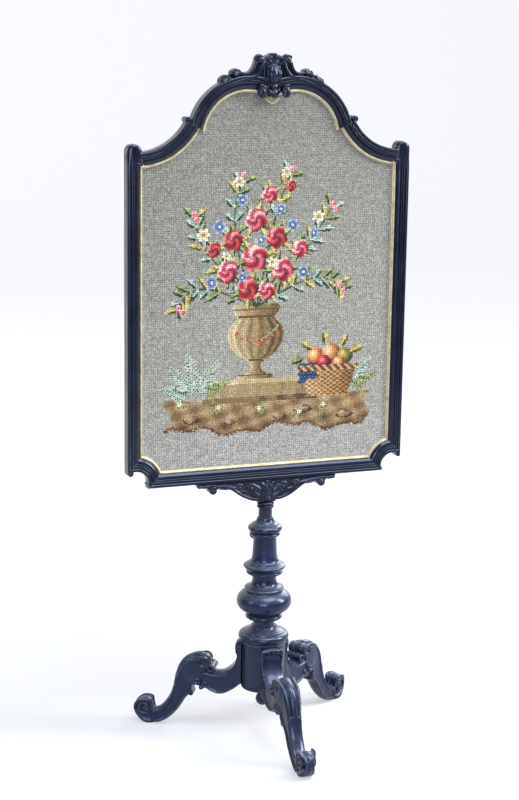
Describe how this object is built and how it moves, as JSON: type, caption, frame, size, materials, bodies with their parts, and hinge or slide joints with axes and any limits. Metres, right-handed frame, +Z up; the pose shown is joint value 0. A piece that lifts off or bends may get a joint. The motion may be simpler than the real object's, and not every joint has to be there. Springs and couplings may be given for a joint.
{
  "type": "tripod fire screen",
  "caption": "Ebonised tripod fire screen: a shaped, moulded panel of stretched needlework on a sliding rod, held by a clamp screw in a turned column on carved scroll legs.",
  "frame": {"origin": "middle of the footprint on the floor, midway between the tip of the front foot and the rear feet, straight below the panel's middle line", "axes": "+Z up, +X to the right of a viewer who faces the needlework, +Y away from that viewer"},
  "size_m": [0.548, 0.392, 1.3],
  "materials": {
    "ebonised_wood": "stained black and polished to a satin gloss",
    "gilt": "gold leaf over gesso",
    "needlework": "wool and bead stitches on canvas",
    "plain_wood": "bare softwood",
    "brass": "tarnished",
    "steel": "plain"
  },
  "bodies": {
    "base": {"hub_block": "ebonised_wood", "hub_drop": "ebonised_wood", "bulb_section": "ebonised_wood", "drum_section": "ebonised_wood", "column_cap": "ebonised_wood", "leg_front": "ebonised_wood", "leg_right": "ebonised_wood", "leg_left": "ebonised_wood", "leg_dowels": "plain_wood", "clamp_bush": "brass"},
    "clamp_shank": {"clamp_screw": "brass"},
    "clamp_grip": {"clamp_knob": "ebonised_wood"},
    "post": {"rod": "ebonised_wood", "rod_collar": "ebonised_wood"},
    "screen": {"apron": "ebonised_wood", "apron_screws": "steel", "bottom_rail": "ebonised_wood", "corner_left": "ebonised_wood", "corner_right": "ebonised_wood", "stile_left": "ebonised_wood", "stile_right": "ebonised_wood", "sweep_left": "ebonised_wood", "sweep_right": "ebonised_wood", "arch_left": "ebonised_wood", "arch_right": "ebonised_wood", "crest": "ebonised_wood", "frame_dowels": "plain_wood", "slip_rail": "gilt", "slip_corner_left": "gilt", "slip_corner_right": "gilt", "slip_stile_left": "gilt", "slip_stile_right": "gilt", "slip_sweep_left": "gilt", "slip_sweep_right": "gilt", "slip_arch_left": "gilt", "slip_arch_right": "gilt", "needlework": "needlework", "canvas_tacks": "steel", "stretcher_left": "plain_wood", "stretcher_right": "plain_wood", "stretcher_bottom": "plain_wood", "stretcher_head": "plain_wood", "stretcher_bar": "plain_wood", "backboard": "plain_wood", "backboard_brads": "steel"}
  },
  "joints": [
    {"name": "height_slide", "type": "slide", "parent": "base", "child": "post", "axis": [0, 0, 1], "range_m": [-0.018, 0.18]},
    {"name": "screen_swivel", "type": "hinge", "parent": "post", "child": "screen", "pos_m": [0, 0.05664, 0.464], "axis": [0, 0, 1], "continuous": true},
    {"name": "clamp_travel", "type": "slide", "parent": "base", "child": "clamp_shank", "axis": [0, 1, 0], "range_m": [0, 0.00226]},
    {"name": "clamp_turn", "type": "hinge", "parent": "clamp_shank", "child": "clamp_grip", "pos_m": [0, 0.09664, 0.385], "axis": [0, 1, 0], "range_deg": [0, 540]}
  ],
  "couplings": [
    {"joint": "clamp_travel", "follows": "clamp_turn", "m_per_rad": 0.00023873}
  ]
}
